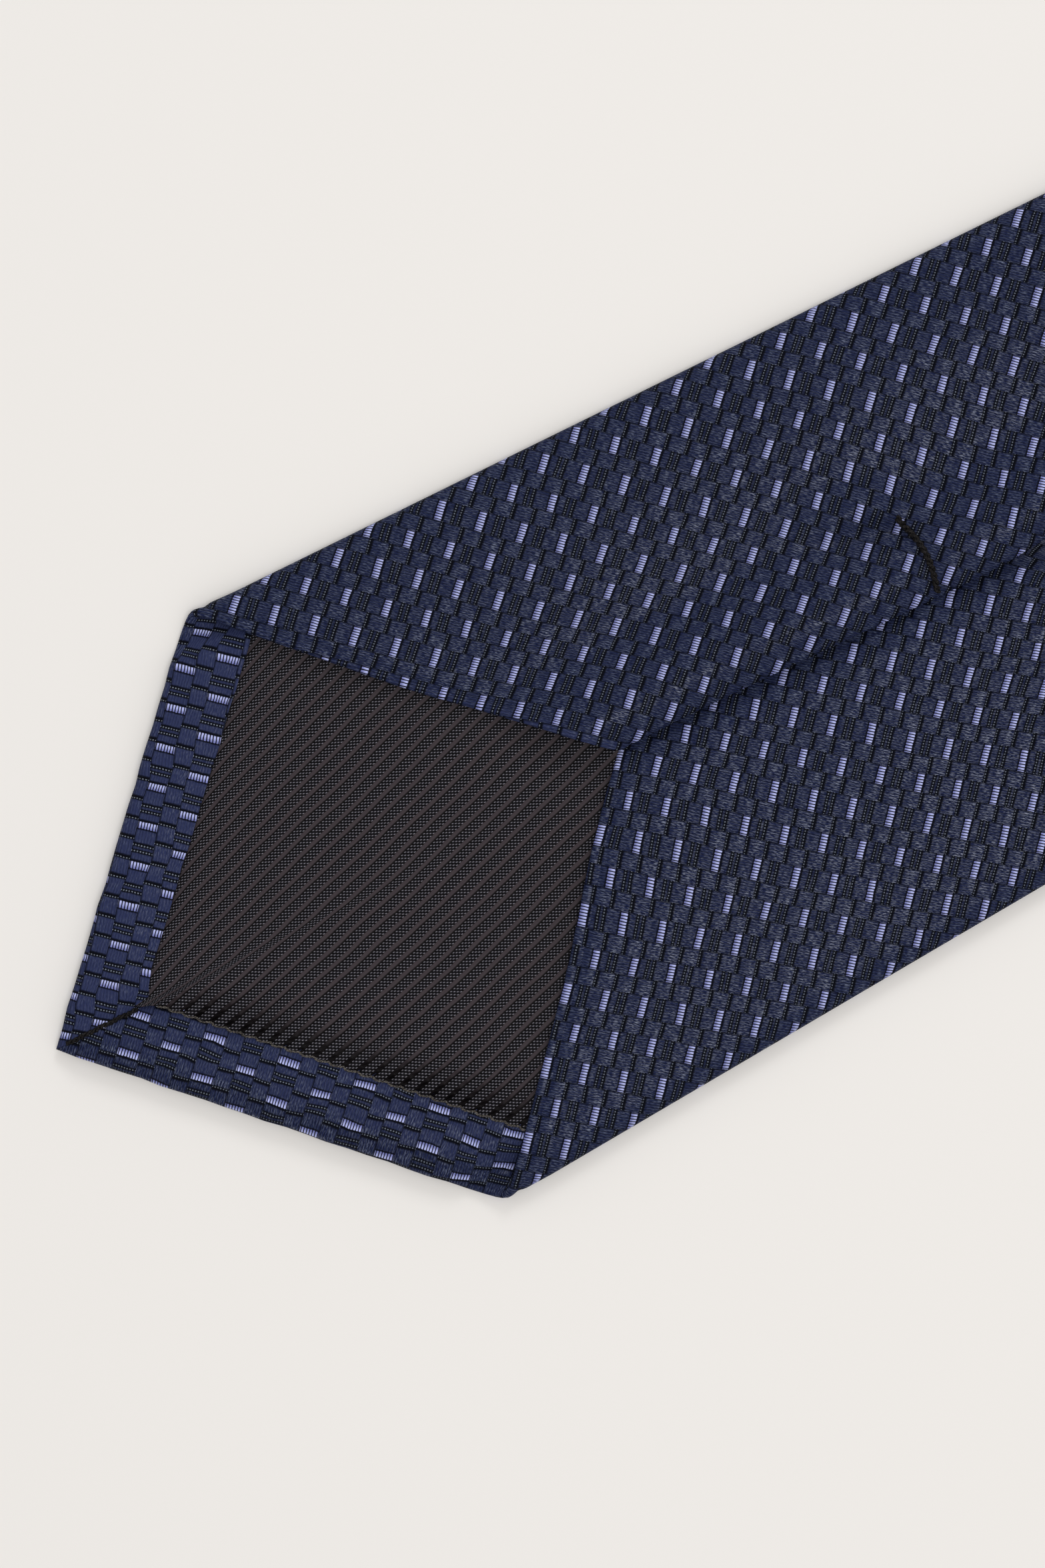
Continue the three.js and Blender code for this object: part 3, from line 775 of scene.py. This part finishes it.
def fold_blade(length, tip, toward, join):
    """A blade from its hem to its join. toward is 1 if the blade runs along +X."""
    hem_left, hem_right = HEMS[length]
    shares = rows_along(*SILK_ROWS[length])
    hem = np.linspace(1, 0, HEM_CELLS, endpoint=False)
    roll = np.linspace(90, -90, ROLL_CELLS, endpoint=False)
    count = HEM_CELLS + ROLL_CELLS + len(shares)
    shape = (count, len(PART))
    hem_row = np.concatenate([hem, np.zeros(count - HEM_CELLS)])[:, None]
    turn = np.full(count, -90.0)
    turn[:HEM_CELLS] = 90
    turn[HEM_CELLS : HEM_CELLS + ROLL_CELLS] = roll
    turn = np.radians(turn)[:, None]
    share = np.concatenate([np.zeros(count - len(shares)), shares])[:, None]

    x = np.full(shape, tip + toward * 0.1)
    for _ in range(6):
        y, z = section(x)
        round_it = distance_round(y, z)
        full = smooth((half_width(x) - 3.0 * mm - np.abs(y)) / (2.4 * mm)) * (PART == "face")
        radius = FLAP_ROLL + (1.05 * mm - FLAP_ROLL) * full
        to_left = np.tanh(round_it / (1.5 * mm))
        hem_wide = (hem_left + hem_right) / 2 + (hem_left - hem_right) / 2 * to_left
        on_hem = radius + (hem_wide - radius) * hem_row
        inset = np.where(hem_row > 0, on_hem, radius - radius * np.cos(turn))
        edge = np.abs(round_it) * TIP_SLOPE + inset * TIP_STRETCH
        lumps = np.sin(round_it / (0.9 * mm)) * np.sin(round_it / (3.7 * mm) + 1)
        over = np.clip(np.abs(round_it) / half_width(x) - 1, 0, 1)
        edge = edge - over * np.where(round_it > 0, 2.2 * mm, 1.4 * mm)
        tip_x = tip + toward * (edge + 0.14 * mm * lumps * (PART == "face"))
        x = tip_x * (1 - share) + (join + JOIN_SLANT * y) * share

    # The hem and the roll stand inside the cloth by this much
    hem_end = 0.5 * mm + 1.25 * mm * full
    rolled = radius + radius * np.sin(turn)
    puff = 0.30 * mm * np.sin(np.pi * np.clip(hem_row, 0, 1)) * full
    inside = np.where(hem_row > 0, 2 * radius + (hem_end - 2 * radius) * hem_row + puff, rolled)
    mitre = hump(round_it, 0, 0.7 * mm) * np.clip(inside / (2 * mm), 0, 1)
    inside = inside - 0.85 * mm * mitre
    from_edge = np.abs(x - tip_x) / TIP_STRETCH
    groove = 0.20 * mm * hump(from_edge, 1.0 * mm, 0.4 * mm) * (PART != "face")
    inside = np.where(share > 0, into_join(x, y, join) + groove, inside)
    y_out, z_out = sink_inward(*softened(x, y, z), inside)

    # Flat coordinates: what has gone round the fold lies beyond it on the flat cloth
    gone = np.where(hem_row > 0, (2 - np.pi) * radius - inset, radius - radius * (turn + np.pi / 2))
    beyond = np.where(share > 0, 0, gone - inset)
    flat_u = np.abs(x - tip) + beyond / TIP_STRETCH
    step_v = beyond * TIP_SLOPE / TIP_STRETCH
    flat_left = np.stack([flat_u, round_it - step_v], axis=2)
    flat_right = np.stack([flat_u, round_it + step_v], axis=2)
    grids = [x, y_out, z_out, flat_left, flat_right]
    return sewn_cloth(f"silk_{length}_blade", *(grid[::toward] for grid in grids))


def fold_strip(name, start, end, joined):
    """A length with no tip, between two lines across the tie. joined says which are sewn."""
    share = np.linspace(0, 1, STRIP_CELLS + 1)[:, None]
    x = start + (end - start) * share + np.zeros(len(PART))
    slants = [JOIN_SLANT * sewn for sewn in joined]
    for _ in range(4):
        y, z = section(x)
        x = (start + slants[0] * y) * (1 - share) + (end + slants[1] * y) * share
    sink = np.zeros_like(x)
    for line, sewn in zip((start, end), joined):
        sink = sink + sewn * into_join(x, y, line)
    y_out, z_out = sink_inward(*softened(x, y, z), sink)
    flat = np.stack([x - FRONT_TIP, distance_round(y, z)], axis=2)
    return sewn_cloth(name, x, y_out, z_out, flat, flat)


# %% [markdown]
# The tie folds where its lengths are sewn together. Each piece near a fold is left where it
# is built, its transform baked in, and follows no body. The neck crosses two folds, and is
# made in two halves that meet in the middle, where nothing bends.


def bends_at():
    """Leaves a piece where it is built, its transform baked in; it follows no body."""
    return lambda piece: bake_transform(piece)


rides = {
    "front": bends_at(),
    "tail": bends_at(),
}


def stands_for(piece, node, follow):
    """Puts the piece in a node's place. It follows one body, or is handed to a function, which here
    leaves it fixed.
    """
    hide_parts(node)
    if callable(follow):
        follow(piece)
    else:
        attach(piece, follow)


# %% The silk of the whole tie
NECK_MIDDLE = (FRONT_JOIN + TAIL_JOIN) / 2

front_shell, front_area = fold_blade("front", FRONT_TIP, 1, FRONT_JOIN)
tail_shell, tail_area = fold_blade("tail", TAIL_TIP, -1, TAIL_JOIN)
neck_front, neck_front_area = fold_strip("silk_neck_front", FRONT_JOIN, NECK_MIDDLE, (1, 0))
neck_tail, neck_tail_area = fold_strip("silk_neck_tail", NECK_MIDDLE, TAIL_JOIN, (0, 1))
silk_pieces = [
    (front_shell, "front_shell", (0.18, 0.66), front_area, "front"),
    (neck_front, "neck_shell", (0.09, 0.21), neck_front_area, "front"),
    (neck_tail, "neck_shell", (0.09, 0.21), neck_tail_area, "tail"),
    (tail_shell, "tail_shell", (0.10, 0.56), tail_area, "tail"),
]
for piece, node, flat_size, area, fold in silk_pieces:
    stands_for(piece, node, rides[fold])

# %% [markdown]
# ## Wool inside
#
# The interlining is one thick soft strip, here in three lengths, that fills the folded silk.
# It shows in one place: past the front bar tack the seam lies open a little, and the grey
# wool swells up into the gap.

# %% Interlining
WOOL = 0.8 * mm
WOOL_Z = 1.0 * mm
WOOL_RISE = 0.3 * mm  # in the opening of the seam


def flat_sheet(name, x, y, z, thickness, material, flat=None):
    """A sheet from grids of places. Its flat coordinates are its plan, unless they are given."""
    piece, row, col = grid_object(name, *x.shape)
    place_points(piece, row, col, x, y, z)
    flat = np.stack([x, y], axis=2) if flat is None else flat
    write_cloth_map(piece, row, col, flat, flat)
    piece.data.flip_normals()
    thicken(piece, thickness)
    piece.data.materials.append(material)
    print(f"{name}: {flat_area(flat) * 1e4:.0f} square cm")
    return piece, flat_area(flat)


def wool_strip(name, start, end, cells):
    """start and end give x at each place across the tie."""
    across = np.linspace(-1, 1, 41)
    share = np.linspace(0, 1, cells + 1)[:, None]
    x = np.full((len(share), len(across)), FRONT_JOIN)
    for _ in range(4):
        y = across * (half_width(x) - 2.4 * mm)
        x = start(y) * (1 - share) + end(y) * share
    lift = hump(x, FRONT_TACK + OPENING, 12 * mm) * hump(y, 0, 4.5 * mm)
    z = WOOL_Z + WOOL_RISE * lift + 0.05 * mm * np.sin(x / (7 * mm)) * np.cos(y / (5 * mm))
    return flat_sheet(name, x, y, z, WOOL, wool)


def tip_line(tip, toward, half):
    """The wool's pointed end, cut back at the shoulders where the hem is thin."""

    def line(y):
        inset = 1.8 * mm + 14 * mm * smooth((np.abs(y) - half + 10 * mm) / (5 * mm))
        return tip + toward * (np.abs(y) * TIP_SLOPE + inset * TIP_STRETCH)

    return line


def join_line(join, clear):
    return lambda y: join + clear + JOIN_SLANT * y


WOOL_CLEAR = 2 * mm
wool_lengths = {
    "front": (tip_line(FRONT_TIP, 1, FRONT_HALF), join_line(FRONT_JOIN, -WOOL_CLEAR), 480),
    "tail": (join_line(TAIL_JOIN, WOOL_CLEAR), tip_line(TAIL_TIP, -1, TAIL_HALF), 400),
}
for length, (start, end, cells) in wool_lengths.items():
    strip, area = wool_strip(f"wool_{length}", start, end, cells)
    stands_for(strip, f"{length}_interlining", rides[length])
across_middle = join_line(NECK_MIDDLE, 0)
neck_wool = [
    ("front", join_line(FRONT_JOIN, WOOL_CLEAR), across_middle),
    ("tail", across_middle, join_line(TAIL_JOIN, -WOOL_CLEAR)),
]
for half, start, end in neck_wool:
    strip, area = wool_strip(f"wool_neck_{half}", start, end, STRIP_CELLS)
    stands_for(strip, "neck_interlining", rides[half])

# %% [markdown]
# ## The lining of each tip
#
# The tipping is sewn to the raw edges of the hem before the tie is folded. On one side the
# hem lies over it in a crisp line. On the other the thin satin has been eased in, so it
# rides over the hem's edge in small puckers that fade out towards the middle.

# %% Tippings
LINING = 0.16 * mm


def pleat_at(u, v):
    """1 on a dotted stripe, which stands up, and 0 between two."""
    stripe = (v * math.cos(STRIPE_TURN) - u * math.sin(STRIPE_TURN)) / (STRIPE * mm)
    return np.sqrt(0.5 + 0.5 * np.cos(2 * np.pi * (stripe - 0.32)))


def lining_edge(y, hem):
    """How far from the tip the lining starts. On the puckered side its edge is scalloped."""
    straight = np.abs(y) * TIP_SLOPE + (hem - 0.7 * mm) * TIP_STRETCH
    return straight - 0.4 * mm * pleat_at(straight, y) * (y < 0)


def tip_lining(name, cloth, tip, toward, end, hem_left, hem_right, rows):
    across = np.linspace(-1, 1, 241)
    share = rows_along(*rows)[:, None]
    x = np.full((len(share), len(across)), tip + toward * end)
    for _ in range(4):
        y = across * (half_width(x) - 2.2 * mm)
        left = smooth(0.5 + y / (1.2 * mm))
        hem = hem_right + (hem_left - hem_right) * left
        edge = tip + toward * lining_edge(y, hem)
        x = edge * (1 - share) + (tip + toward * end) * share
    inset = (toward * (x - tip) - np.abs(y) * TIP_SLOPE) / TIP_STRETCH
    past = (inset - hem) / mm
    pull = 2.4 * mm * np.exp(-np.clip(inset - hem, 0, None) / (9 * mm)) * left
    flat = np.stack([toward * (x - tip), y + pull], axis=2)

    # The dotted stripes stand up in pleats at the puckered hem
    pleat = pleat_at(flat[..., 0], flat[..., 1])
    uneven = 0.75 + 0.25 * np.sin(np.abs(y) / (3.1 * mm))
    swell = pleat * uneven * np.exp(-np.clip(past, 0, None) / 3.4) * smooth((past + 1.3) / 1.1)
    over_hem = (1 - left) * (0.20 * (1 - smooth((past - 0.1) / 2.4)) + 1.0 * swell)
    under_hem = -left * 0.20 * (1 - smooth((past + 0.3) / 3.0))
    slack = 0.06 * np.sin(x / (8 * mm)) * np.sin(y / (6 * mm))
    z = (1.82 + over_hem + under_hem + slack) * mm
    return flat_sheet(name, x, y, z, LINING, cloth, flat)


tip_linings = {}
tip_sizes = {
    "front": (FRONT_TIP, 1, 150 * mm, (0.0025, 0.003, 0.03, 0.05)),
    "tail": (TAIL_TIP, -1, 75 * mm, (0.005, 0.006, 0.04, 0.08)),
}
for length, (tip, toward, end, rows) in tip_sizes.items():
    cloth = lining_cloth[length]
    piece, area = tip_lining(f"lining_{length}", cloth, tip, toward, end, *HEMS[length], rows)
    stands_for(piece, f"{length}_tipping", f"{length}_blade")
    wide = float(2 * half_width(np.array(tip)))
    tip_linings[length] = piece

# %% [markdown]
# ## Thread
#
# Sewing thread is two strands twisted round each other. Each strand is a curve with a round
# bevel that winds round the thread's path, and the pair is made a mesh once it is done. A
# stitch lies on the cloth, so the heights along its path are found by dropping a line onto
# the cloth below.


# %% Twisted thread
def smooth_path(points, spacing):
    """Places this far apart along a smooth curve through these points."""
    points = [Vector(point) for point in points]
    padded = [2 * points[0] - points[1], *points, 2 * points[-1] - points[-2]]
    path = []
    for before, here, there, after in zip(padded, padded[1:], padded[2:], padded[3:]):
        steps = max(1, math.ceil((there - here).length / spacing))
        for step in range(steps):
            t = step / steps
            bend = (3 * (here - there) + after - before) * t**3
            bend += (2 * before - 5 * here + 4 * there - after) * t**2
            path.append(here + ((there - before) * t + bend) / 2)
    return [*path, points[-1]]


def twisted_thread(name, points, radius, twist, material, sides=2, spacing=0.12 * mm):
    path = smooth_path(points, spacing)
    curve = bpy.data.curves.new(name, "CURVE")
    curve.dimensions = "3D"
    curve.bevel_depth = radius * 0.56
    curve.bevel_resolution = sides
    curve.use_fill_caps = True
    ends = [path[0], *path, path[-1]]
    for strand in range(2):
        line = curve.splines.new("POLY")
        line.points.add(len(path) - 1)
        run = 0.0
        for i, here in enumerate(path):
            ahead = (ends[i + 2] - ends[i]).normalized()
            side = ahead.cross(Vector((0, 0, 1)))
            if side.length <= 0.05:  # the path runs straight up or down
                side = ahead.cross(Vector((1, 0, 0)))
            side = side.normalized()
            up = side.cross(ahead)
            angle = 2 * math.pi * run / twist + strand * math.pi
            offset = (side * math.cos(angle) + up * math.sin(angle)) * radius * 0.5
            line.points[i].co = (*(here + offset), 1)
            run += (ends[i + 2] - here).length
    deselect()
    thread = bpy.data.objects.new(name, curve)
    bpy.context.scene.collection.objects.link(thread)
    thread.select_set(True)
    bpy.context.view_layer.objects.active = thread
    bpy.ops.object.convert(target="MESH")
    thread = bpy.context.object
    bpy.ops.object.shade_smooth()
    thread.data.materials.append(material)
    print(f"{name}: {len(path)} steps")
    return thread


def height_on(piece, x, y):
    """The height of the top of a piece of cloth here."""
    hit, place, _, _ = piece.ray_cast(Vector((x, y, 0.05)), Vector((0, 0, -1)))
    return place.z if hit else FLAP_Z


def lying_on(piece, plan, clear):
    return [(x, y, height_on(piece, x, y) + clear) for x, y in plan]


def zigzag(size, count):
    """This much to one side and then to the other, for each of so many points."""
    return size * (-1.0) ** np.arange(count)


# %% [markdown]
# A bar tack is the one stitch meant to be seen: a thick thread laid over the upper flap,
# pulled down at both ends, where the seam begins.

# %% Bar tacks
TACK = 0.40 * mm
for length, shell, place, toward in (
    ("front", front_shell, FRONT_TACK, 1),
    ("tail", tail_shell, TAIL_TACK, -1),
):
    reach = np.linspace(TACK_REACH, 0.4 * mm, 9)
    bulge = 0.8 * mm * np.sin(np.pi * reach / TACK_REACH)
    plan = [(place + toward * out, y) for out, y in zip(bulge, reach)]
    points = lying_on(shell, plan, TACK * 0.55)
    first, last = points[0], points[-1]
    start = (first[0], first[1] + 0.5 * mm, first[2] - 0.75 * mm)
    finish = [(last[0], -0.1 * mm, last[2] - 0.7 * mm), (last[0], 0.2 * mm, 2.3 * mm)]
    path = [start, *points, *finish]
    tack = twisted_thread(f"bar_tack_{length}", path, TACK, 1.7 * mm, dark_thread, 4)
    stands_for(tack, f"{length}_bar_tack", f"{length}_blade")

# %% [markdown]
# The slip stitch is one long loose thread in the fold of the seam. It swings from one flap
# to the other every 12 mm, out of sight under the rolled edge.

# %% Slip stitches
SLIP = 0.16 * mm
slip_runs = [
    ("front", "front", FRONT_TACK + 2 * mm, FRONT_JOIN - 4 * mm, "front"),
    ("neck_front", "neck", FRONT_JOIN + 4 * mm, NECK_MIDDLE, "front"),
    ("neck_tail", "neck", NECK_MIDDLE, TAIL_JOIN - 4 * mm, "tail"),
    ("tail", "tail", TAIL_JOIN + 4 * mm, TAIL_TACK - 2 * mm, "tail"),
]
for name, length, start, end, fold in slip_runs:
    count = max(2, round((end - start) / (12 * mm)))
    places = np.linspace(start, end, count + 1)
    swing = (1.6 + zigzag(0.35, count + 1)) * mm
    points = [(x, float(seam_place(x)) + out, 2.3 * mm) for x, out in zip(places, swing)]
    slip = twisted_thread(f"slip_stitch_{name}", points, SLIP, 1.1 * mm, dark_thread, 0, 0.5 * mm)
    stands_for(slip, f"{length}_slip_stitch", rides[fold])

# %% [markdown]
# The lining is held to the hem by a row of stitches on each side, and the two hems to each
# other by one along the mitre. The thread on the puckered side is pale and lies on top.

# %% Stitches of the tips
for length, (tip, toward, _, _) in tip_sizes.items():
    hem_left, hem_right = HEMS[length]
    shell = front_shell if length == "front" else tail_shell
    blade = f"{length}_blade"
    reach = (FRONT_HALF if length == "front" else TAIL_HALF) - 5 * mm
    for side, hem, material in ((1, hem_left, dark_thread), (-1, hem_right, pale_thread)):
        runs = side * np.linspace(0.8 * mm, reach, 3 * round(reach / mm))
        inward = (0.12 if side < 0 else 0.9) * mm
        plan = [(tip + toward * (float(lining_edge(y, hem)) + inward), y) for y in runs]
        cloth = tip_linings[length]
        points = lying_on(cloth, plan, 0.05 * mm if side < 0 else -0.02 * mm)
        label = "left" if side > 0 else "right"
        name = f"lining_stitch_{length}_{label}"
        stitch = twisted_thread(name, points, 0.17 * mm, 0.8 * mm, material, 1, 0.2 * mm)
        stands_for(stitch, f"{length}_tipping_stitch_{label}", blade)
    mitre_x = tip + toward * np.linspace(0.12, 0.97, 9) * hem_left * TIP_STRETCH
    points = lying_on(shell, zip(mitre_x, zigzag(0.05 * mm, 9)), 0.2 * mm)
    name = f"mitre_stitch_{length}"
    stitch = twisted_thread(name, points, 0.31 * mm, 1.3 * mm, dark_thread, 1, 0.2 * mm)
    stands_for(stitch, f"{length}_mitre_stitch", blade)

# %% Threads of the two joins
for length, join, half in (
    ("front", FRONT_JOIN, NECK_HALF),
    ("tail", TAIL_JOIN, NECK_TAIL_HALF),
):
    reach = half - 3 * mm
    y = np.linspace(-reach, reach, 24)
    points = list(zip(join + JOIN_SLANT * y, y, (0.72 + zigzag(0.06, 24)) * mm))
    name = f"join_thread_{length}"
    thread = twisted_thread(name, points, 0.14 * mm, 0.9 * mm, dark_thread, 0, 0.4 * mm)
    stands_for(thread, f"{length}_join_stitch", rides[length])

# %% [markdown]
# ## Keeper loop and care label
#
# The keeper is a strip of the same silk, folded double and sewn down at both ends, bowed up
# so that the narrow end of the tie can be slid through. The care label is a piece of satin
# ribbon, sewn along one short edge, with its free end curling up a little.

# %% Keeper loop
KEEPER_CLOTH = 0.9 * mm
keeper_low, keeper_high = low["keeper_loop"], high["keeper_loop"]
keeper_wide = keeper_high[0] - keeper_low[0]
keeper_middle = (keeper_high[0] + keeper_low[0]) / 2
leg = keeper_high[1] - 6.5 * mm
tab_z = keeper_low[2] + KEEPER_CLOTH / 2
top_z = keeper_high[2] - KEEPER_CLOTH / 2
turn = np.linspace(0, 1, 41)
bow_y = leg * np.sign(turn * 2 - 1) * np.abs(np.sin(np.pi * (turn - 0.5))) ** 0.8
bow_z = tab_z + (top_z - tab_z) * np.abs(np.cos(np.pi * (turn - 0.5))) ** 0.45
tab_y = np.linspace(keeper_high[1], leg + 0.8 * mm, 8)
path_y = np.concatenate([-tab_y, bow_y, tab_y[::-1]])
path_z = np.concatenate([np.full(8, tab_z), bow_z, np.full(8, tab_z)])
run = np.concatenate([[0], np.cumsum(np.hypot(np.diff(path_y), np.diff(path_z)))])
wide = np.linspace(-0.5, 0.5, 13)[:, None]
cupped = 0.25 * mm * (1 - (2 * wide) ** 2)
keeper_x = keeper_middle + keeper_wide * wide + np.zeros(len(path_y))
keeper_y = path_y + np.zeros_like(keeper_x)
keeper_z = path_z + cupped - 0.25 * mm
keeper_flat = np.stack([keeper_x - FRONT_TIP, run + np.zeros_like(keeper_x)], axis=2)
keeper_grids = (keeper_x, keeper_y, keeper_z)
keeper, _ = flat_sheet("keeper_band", *keeper_grids, KEEPER_CLOTH, silk, keeper_flat)
stands_for(keeper, "keeper_loop", "front_blade")
for label, side in (("left", 1), ("right", -1)):
    y = side * (keeper_high[1] - 1.2 * mm) + zigzag(0.15 * mm, 9)
    plan = zip(keeper_low[0] + np.linspace(0.08, 0.92, 9) * keeper_wide, y)
    points, name = lying_on(keeper, plan, 0.08 * mm), f"keeper_tack_{label}"
    tack = twisted_thread(name, points, 0.17 * mm, 0.9 * mm, dark_thread, 1)
    stands_for(tack, name, "front_blade")

# %% Care label
label_low, label_high = low["care_label"], high["care_label"]
share_x, share_y = np.linspace(0, 1, 40)[:, None], np.linspace(0, 1, 28)
label_x = label_low[0] + (label_high[0] - label_low[0]) * share_x + 0 * share_y
label_y = label_low[1] + (label_high[1] - label_low[1]) * share_y + 0 * share_x
curl = 1.5 * mm * share_x**3 + 0.12 * mm * np.sin(7 * share_x + 3 * share_y)
label_z = label_low[2] + 0.25 * mm + curl + 0 * share_y
middle_y = (label_low[1] + label_high[1]) / 2
label_flat = np.stack([label_x - label_low[0], label_y - middle_y], axis=2)
care_label, _ = flat_sheet("care_ribbon", label_x, label_y, label_z, 0.22 * mm, ribbon, label_flat)
stands_for(care_label, "care_label", "care_label")
stitch_y = np.linspace(label_low[1] + 1 * mm, label_high[1] - 1 * mm, 16)
plan = [(label_low[0] - 0.35 * mm, y) for y in stitch_y]
points = lying_on(front_shell, plan, 0.12 * mm)
sewn = twisted_thread("care_label_thread", points, 0.15 * mm, 0.9 * mm, pale_thread, 1)
stands_for(sewn, "care_label_stitch", "front_blade")

# %% [markdown]
# The tie was not laid down perfectly straight: the point of the front blade leans a little
# to its left. Every layer there takes the same lean, so nothing comes apart.

# %% The front tip leans to one side
LEAN, LEAN_REACH = 1.6 * mm, 45 * mm
for piece in set(bpy.context.scene.objects) - cad_objects - {floor}:
    if piece.type == "MESH":
        points = np.empty(len(piece.data.vertices) * 3)
        piece.data.vertices.foreach_get("co", points)
        points = points.reshape(-1, 3)
        points[:, 1] += LEAN * np.clip(1 - (points[:, 0] - FRONT_TIP) / LEAN_REACH, 0, 1)
        piece.data.vertices.foreach_set("co", points.ravel())
        piece.data.update()
print("the front tip leans", LEAN * 1000, "mm")
